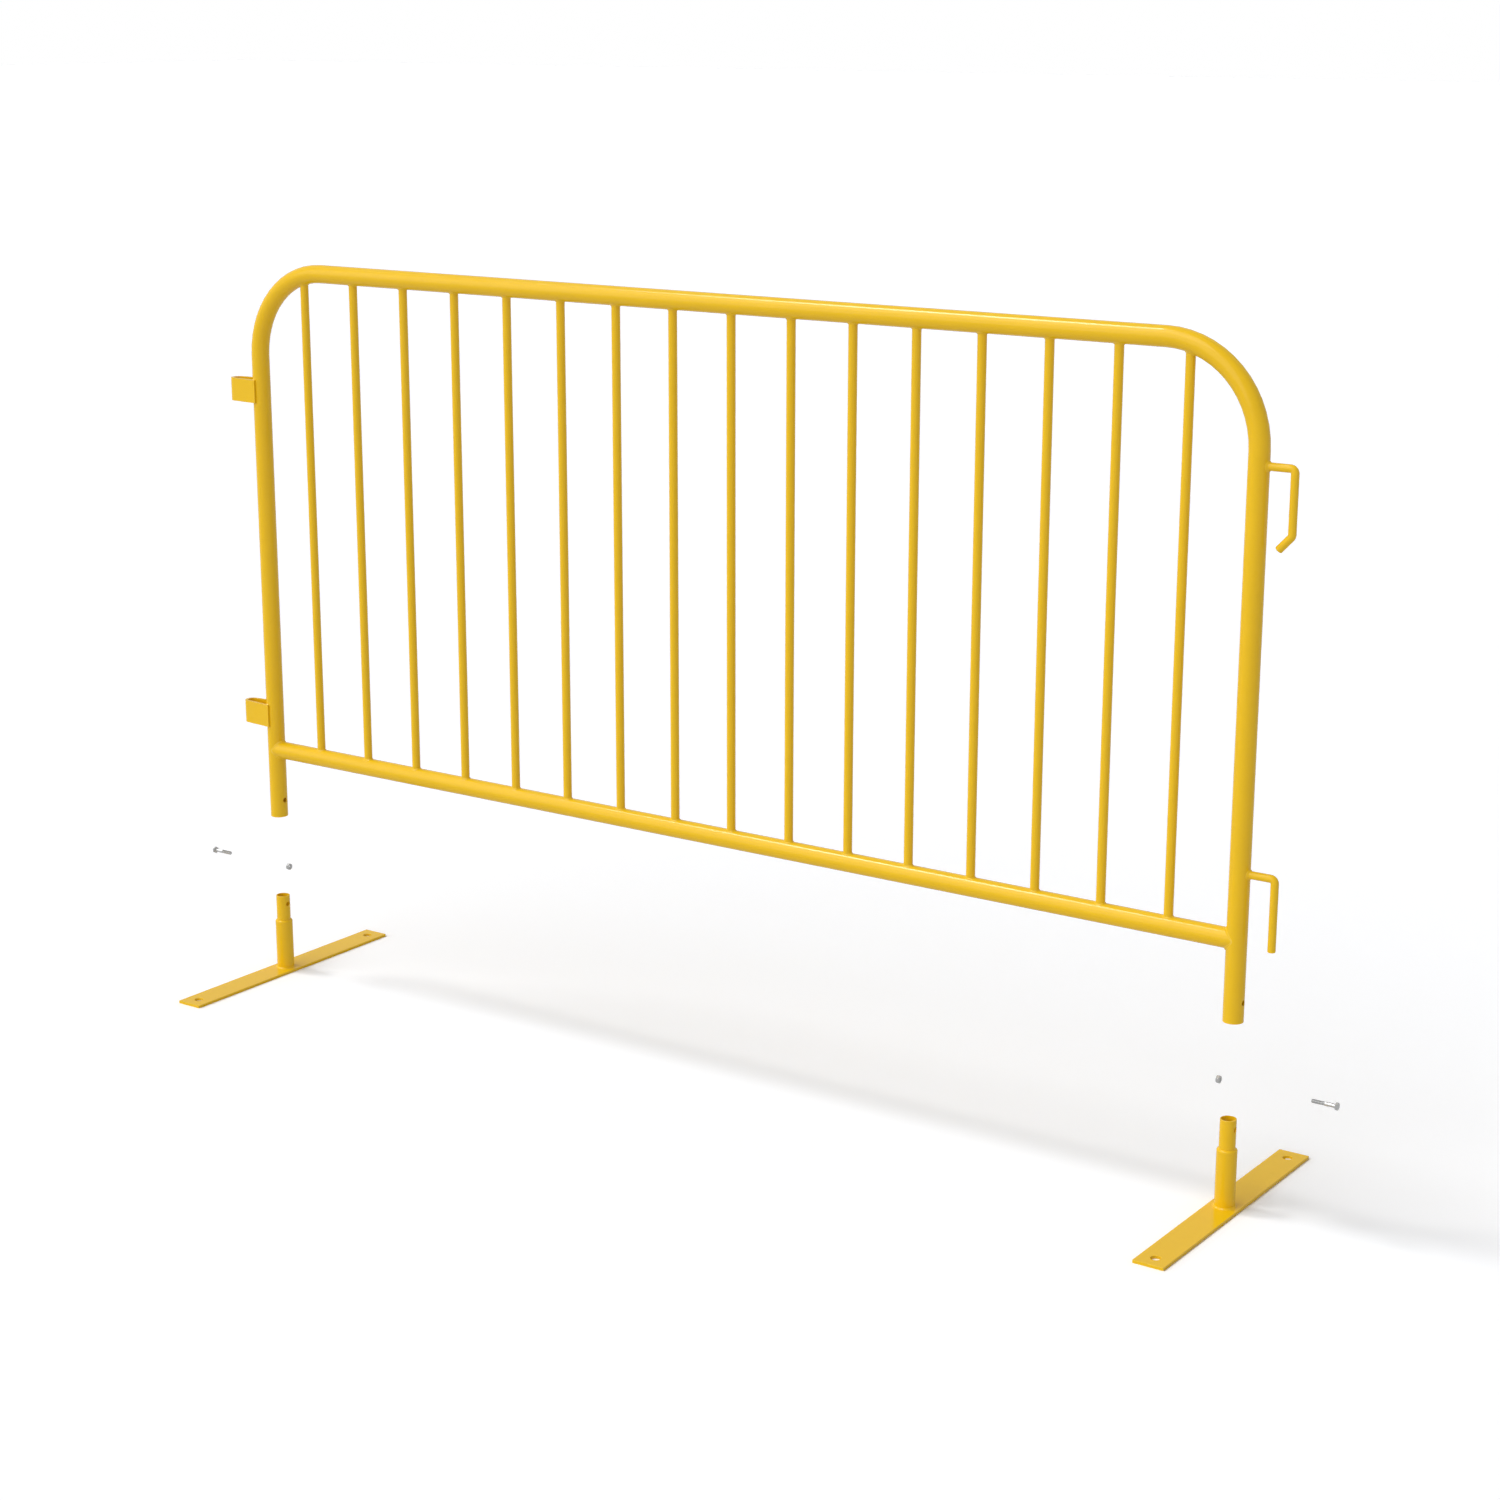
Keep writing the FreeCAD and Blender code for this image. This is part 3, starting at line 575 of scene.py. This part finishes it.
def lay_fastener(piece, node, side, origin_x):
    """Turn a fastener's +Z away from mid-span, and set its origin on the axis of the solid it replaces."""
    low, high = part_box(node)
    turn = Matrix.Rotation(math.radians(90 * side), 4, "Y")
    place = Matrix.Translation(Vector((origin_x, 0, (low.z + high.z) / 2)))
    piece.data.transform(place @ turn)
    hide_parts(node)
    add_piece(piece, node)


def fasteners():
    """Threaded bolts, heads outboard, and threaded nuts, in place of the plain solids."""
    for name, side in SIDES:
        low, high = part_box(name + "_bolt")
        under_head = (high.x if side > 0 else low.x) - side * HEAD_HEIGHT
        bolt = turned(name + "_bolt_threaded", bolt_profile(high.x - low.x - HEAD_HEIGHT), closed=False)
        lay_fastener(bolt, name + "_bolt", side, under_head)
        low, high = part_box(name + "_nut")
        inner_face = low.x if side > 0 else high.x
        nut = turned(name + "_nut_threaded", nut_profile(high.x - low.x), closed=True)
        lay_fastener(nut, name + "_nut", side, inner_face)


# --- floor, light and camera ------------------------------------------------------------------------

FLOOR_REACH = 60.0
FLOOR_BOUNCE = 0.65
FLOOR_SEEN = 1.50
FLOOR_GLOW = -0.42
FLOOR_TINT = (0.996, 1.0, 1.012)
FLOOR_GRAIN = (0.995, 1.005)

SKY_LEVEL = 0.618
SKY_TILT = (-0.065, -0.030, -0.198)
SKY_SEEN = 1.0

LIGHTS = (    # name, direction towards the light, strength, width in degrees
    ("key", (-0.50, -0.12, 0.86), 0.60, 11.0),
    ("top", (-0.27, -0.52, 0.81), 0.56, 45.0),
    ("front", (-0.30, -0.80, 0.52), 1.03, 70.0),
)

CAMERA_PLACE = (2.686735, -3.73954, 1.7803)
CAMERA_YAW = math.radians(34.723)
CAMERA_PITCH = math.radians(14.670)
CAMERA_ROLL = math.radians(0.086)
CAMERA_LENS = 68.858
CAMERA_SENSOR = 36.0
CAMERA_FAR = 200.0


def pale_floor():
    """A wide pale floor, near white to the camera, with a clear soft shadow.

    As the camera sees it, the floor reflects more and some light is taken away again: the lit part
    stays near white and the shadow gains contrast. The light that it bounces is not changed.
    """
    mesh = bpy.data.meshes.new("floor")
    reach = FLOOR_REACH
    corners = [(-reach, -reach, 0), (reach, -reach, 0), (reach, reach, 0), (-reach, reach, 0)]
    mesh.from_pydata(corners, [], [(0, 1, 2, 3)])
    material = bpy.data.materials.new("pale_floor")
    mesh.materials.append(material)
    tree = Tree(material)
    seen = tree.add("ShaderNodeLightPath").outputs["Is Camera Ray"]
    place = tree.add("ShaderNodeTexCoord").outputs["Object"]
    grain = tree.spread(tree.noise(place, scale=900.0), *FLOOR_GRAIN)
    albedo = tree.math("MULTIPLY", tree.spread(seen, FLOOR_BOUNCE, FLOOR_SEEN), grain)
    colour = tree.scale_colour(FLOOR_TINT, albedo)
    matt = tree.add("ShaderNodeBsdfDiffuse", {"Color": colour, "Roughness": 0.0})
    glow = tree.add("ShaderNodeEmission", {"Strength": tree.math("MULTIPLY", seen, FLOOR_GLOW)})
    both = tree.add("ShaderNodeAddShader")
    tree.put(matt.outputs[0], both.inputs[0])
    tree.put(glow.outputs[0], both.inputs[1])
    tree.show(both)
    placed("floor", mesh)


def studio_sky():
    """Soft surround, a little brighter low down and on the left; plain white where the camera sees it."""
    world = bpy.data.worlds.new("studio")
    bpy.context.scene.world = world
    tree = Tree(world)
    direction = tree.add("ShaderNodeTexCoord").outputs["Generated"]
    slope = tree.add("ShaderNodeVectorMath", operation="DOT_PRODUCT")
    tree.put(direction, slope.inputs[0])
    tree.put(SKY_TILT, slope.inputs[1])
    level = tree.math("ADD", slope.outputs["Value"], SKY_LEVEL)
    seen = tree.add("ShaderNodeLightPath").outputs["Is Camera Ray"]
    strength = tree.math("MULTIPLY_ADD", seen, tree.math("SUBTRACT", SKY_SEEN, level), level)
    sky = tree.add("ShaderNodeBackground", {"Color": (1, 1, 1, 1), "Strength": strength})
    tree.show(sky, "ShaderNodeOutputWorld")


def softboxes():
    """Distant round lights: a small key high on the left, a broad one above and a broader one in front."""
    for name, towards, strength, width in LIGHTS:
        light = bpy.data.lights.new(name, "SUN")
        light.energy = strength
        light.angle = math.radians(width)
        lamp = placed(name, light)
        lamp.matrix_world = Vector(towards).to_track_quat("Z", "Y").to_matrix().to_4x4()


def studio_camera():
    """The camera: turned from +Y towards -X, looking down, with a trace of roll."""
    level = math.cos(CAMERA_PITCH)
    ahead = Vector((-math.sin(CAMERA_YAW) * level, math.cos(CAMERA_YAW) * level, -math.sin(CAMERA_PITCH)))
    right = Vector((math.cos(CAMERA_YAW), math.sin(CAMERA_YAW), 0))
    up = right.cross(ahead)
    rolled_right = right * math.cos(CAMERA_ROLL) + up * math.sin(CAMERA_ROLL)
    rolled_up = up * math.cos(CAMERA_ROLL) - right * math.sin(CAMERA_ROLL)
    turn = Matrix((rolled_right, rolled_up, -ahead)).transposed().to_4x4()
    camera = bpy.data.cameras.new("camera")
    camera.sensor_width = CAMERA_SENSOR
    camera.lens = CAMERA_LENS
    camera.clip_end = CAMERA_FAR
    holder = placed("camera", camera)
    holder.matrix_world = Matrix.Translation(Vector(CAMERA_PLACE)) @ turn
    bpy.context.scene.camera = holder


# --- the scene --------------------------------------------------------------------------------------

paint_frame()
bar_welds()
rail_welds()
hook_welds()
loop_welds()
stub_welds()
fasteners()
pale_floor()
studio_sky()
softboxes()
studio_camera()
bpy.context.scene.view_settings.view_transform = "Standard"
